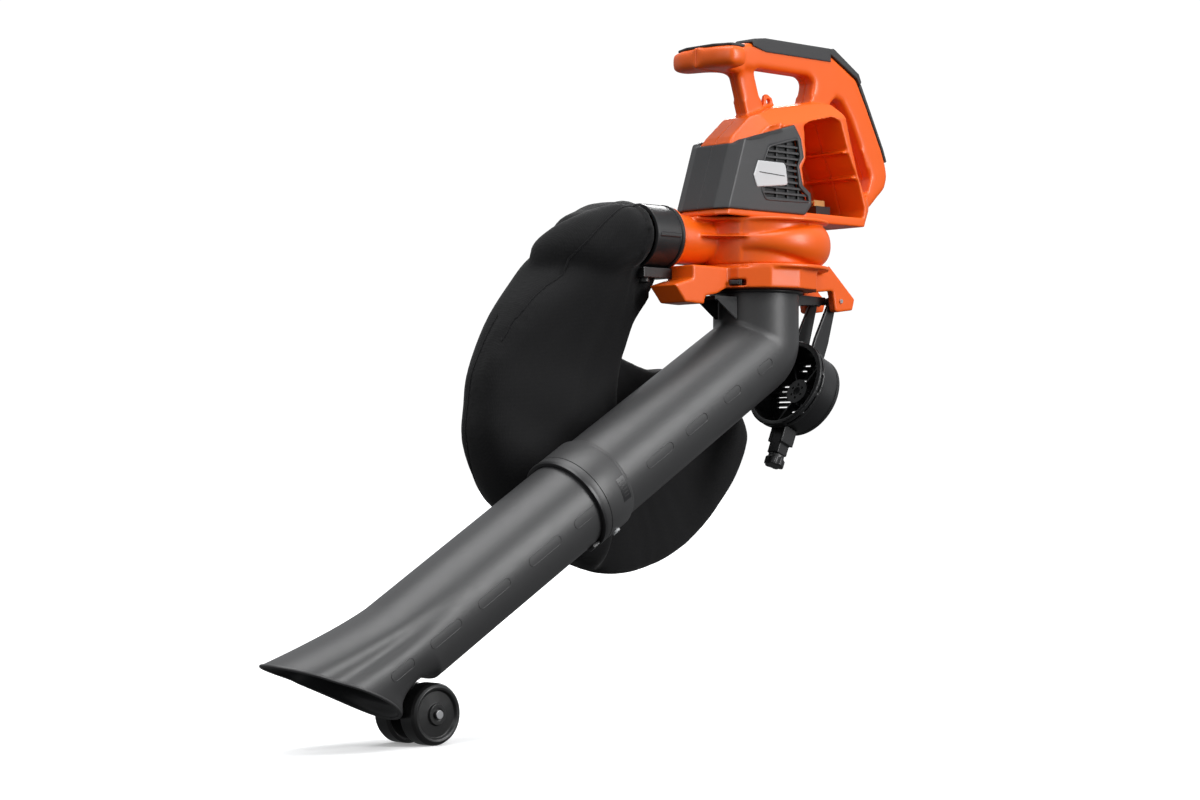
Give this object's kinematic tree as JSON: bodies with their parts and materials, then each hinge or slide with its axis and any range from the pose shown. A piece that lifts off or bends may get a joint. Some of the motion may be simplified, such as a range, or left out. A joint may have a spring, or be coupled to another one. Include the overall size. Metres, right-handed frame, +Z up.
{
  "type": "leaf blower",
  "caption": "Battery leaf blower and vacuum in orange and grey plastic, with a long scoop tube on castor wheels, a black collection bag and a hinged inlet guard.",
  "frame": {"origin": "centre of the hand grip on the top beam of the handle", "axes": "+Z up, -X is the front that the nozzle points to, +Y is the side that carries the bag"},
  "size_m": [1.1138, 0.2856, 0.9468],
  "materials": {
    "orange_plastic": "glossy",
    "grey_plastic": "satin",
    "black_plastic": "satin",
    "soft_grip": "matte",
    "pale_plastic": "satin",
    "steel": "satin",
    "cast_alloy": "matte",
    "brass": "satin",
    "board": "satin",
    "lead_cover": "satin",
    "seal_rubber": "matte",
    "fan_plastic": "satin",
    "bag_fabric": "matte",
    "wheel_rubber": "satin"
  },
  "bodies": {
    "root": {"housing_left": "orange_plastic", "housing_right": "orange_plastic", "motor_cover_left": "grey_plastic", "motor_cover_right": "grey_plastic", "vent_grille_left": "grey_plastic", "vent_grille_right": "grey_plastic", "badge_left": "pale_plastic", "badge_right": "pale_plastic", "front_bar_pad": "soft_grip", "top_grip": "soft_grip", "control_panel": "black_plastic", "rear_grip": "soft_grip", "battery_terminal": "black_plastic", "terminal_blades": "brass", "housing_screws": "steel", "motor_stator": "steel", "lower_bearing": "steel", "upper_bearing": "steel", "motor_plate": "cast_alloy", "motor_end_bell": "cast_alloy", "motor_screws": "steel", "controller_board": "board", "motor_leads": "lead_cover", "shaft_seal": "seal_rubber", "volute_upper": "orange_plastic", "volute_lower": "orange_plastic", "hinge_pin": "steel", "upper_tube": "grey_plastic", "lower_tube": "grey_plastic", "release_tab": "grey_plastic", "wheel_fork": "grey_plastic", "axle": "steel", "axle_screws": "steel", "bag_collar": "black_plastic", "collar_latch": "black_plastic", "bag": "bag_fabric"},
    "drive": {"motor_rotor": "steel", "impeller": "fan_plastic", "impeller_nut": "steel", "mulching_blade": "steel"},
    "guard": {"guard_cup": "black_plastic", "guard_grille": "black_plastic", "guard_hub": "black_plastic", "guard_arms": "black_plastic", "guard_bracket": "black_plastic"},
    "latch_knob": {"guard_knob": "black_plastic"},
    "lock_slider": {"tube_lock": "black_plastic"},
    "tube_button": {"snap_button": "pale_plastic"},
    "power_button": {"power_key": "black_plastic"},
    "speed_button": {"speed_key": "black_plastic"},
    "bag_button": {"collar_button": "black_plastic"},
    "near_wheel": {"wheel_left": "wheel_rubber"},
    "far_wheel": {"wheel_right": "wheel_rubber"}
  },
  "joints": [
    {"name": "drive_spin", "type": "hinge", "parent": "root", "child": "drive", "pos_m": [-0.062, 0, -0.235], "axis": [0, 0, 1], "continuous": true},
    {"name": "guard_swing", "type": "hinge", "parent": "root", "child": "guard", "pos_m": [0.078, 0, -0.341], "axis": [0, 1, 0], "range_deg": [0, 10]},
    {"name": "latch_turn", "type": "hinge", "parent": "guard", "child": "latch_knob", "pos_m": [-0.0194, 0, -0.5604], "axis": [-0.3907, 0, -0.9205], "range_deg": [0, 90]},
    {"name": "lock_slide", "type": "slide", "parent": "root", "child": "lock_slider", "axis": [0.4067, -0.9135, 0], "range_m": [0, 0.006]},
    {"name": "tube_button_press", "type": "slide", "parent": "root", "child": "tube_button", "axis": [-0.432, 0.5446, 0.7189], "range_m": [0, 0.0035], "stiffness_N_per_m": 400},
    {"name": "power_press", "type": "slide", "parent": "root", "child": "power_button", "axis": [-0.4985, 0, -0.8669], "range_m": [0, 0.001], "stiffness_N_per_m": 500},
    {"name": "speed_press", "type": "slide", "parent": "root", "child": "speed_button", "axis": [-0.4985, 0, -0.8669], "range_m": [0, 0.001], "stiffness_N_per_m": 500},
    {"name": "bag_button_press", "type": "slide", "parent": "root", "child": "bag_button", "axis": [0, 0, 1], "range_m": [0, 0.0035], "stiffness_N_per_m": 500},
    {"name": "near_wheel_roll", "type": "hinge", "parent": "root", "child": "near_wheel", "pos_m": [-0.6769, 0, -0.88583], "axis": [0, 1, 0], "continuous": true},
    {"name": "far_wheel_roll", "type": "hinge", "parent": "root", "child": "far_wheel", "pos_m": [-0.6769, 0, -0.88583], "axis": [0, 1, 0], "continuous": true}
  ]
}
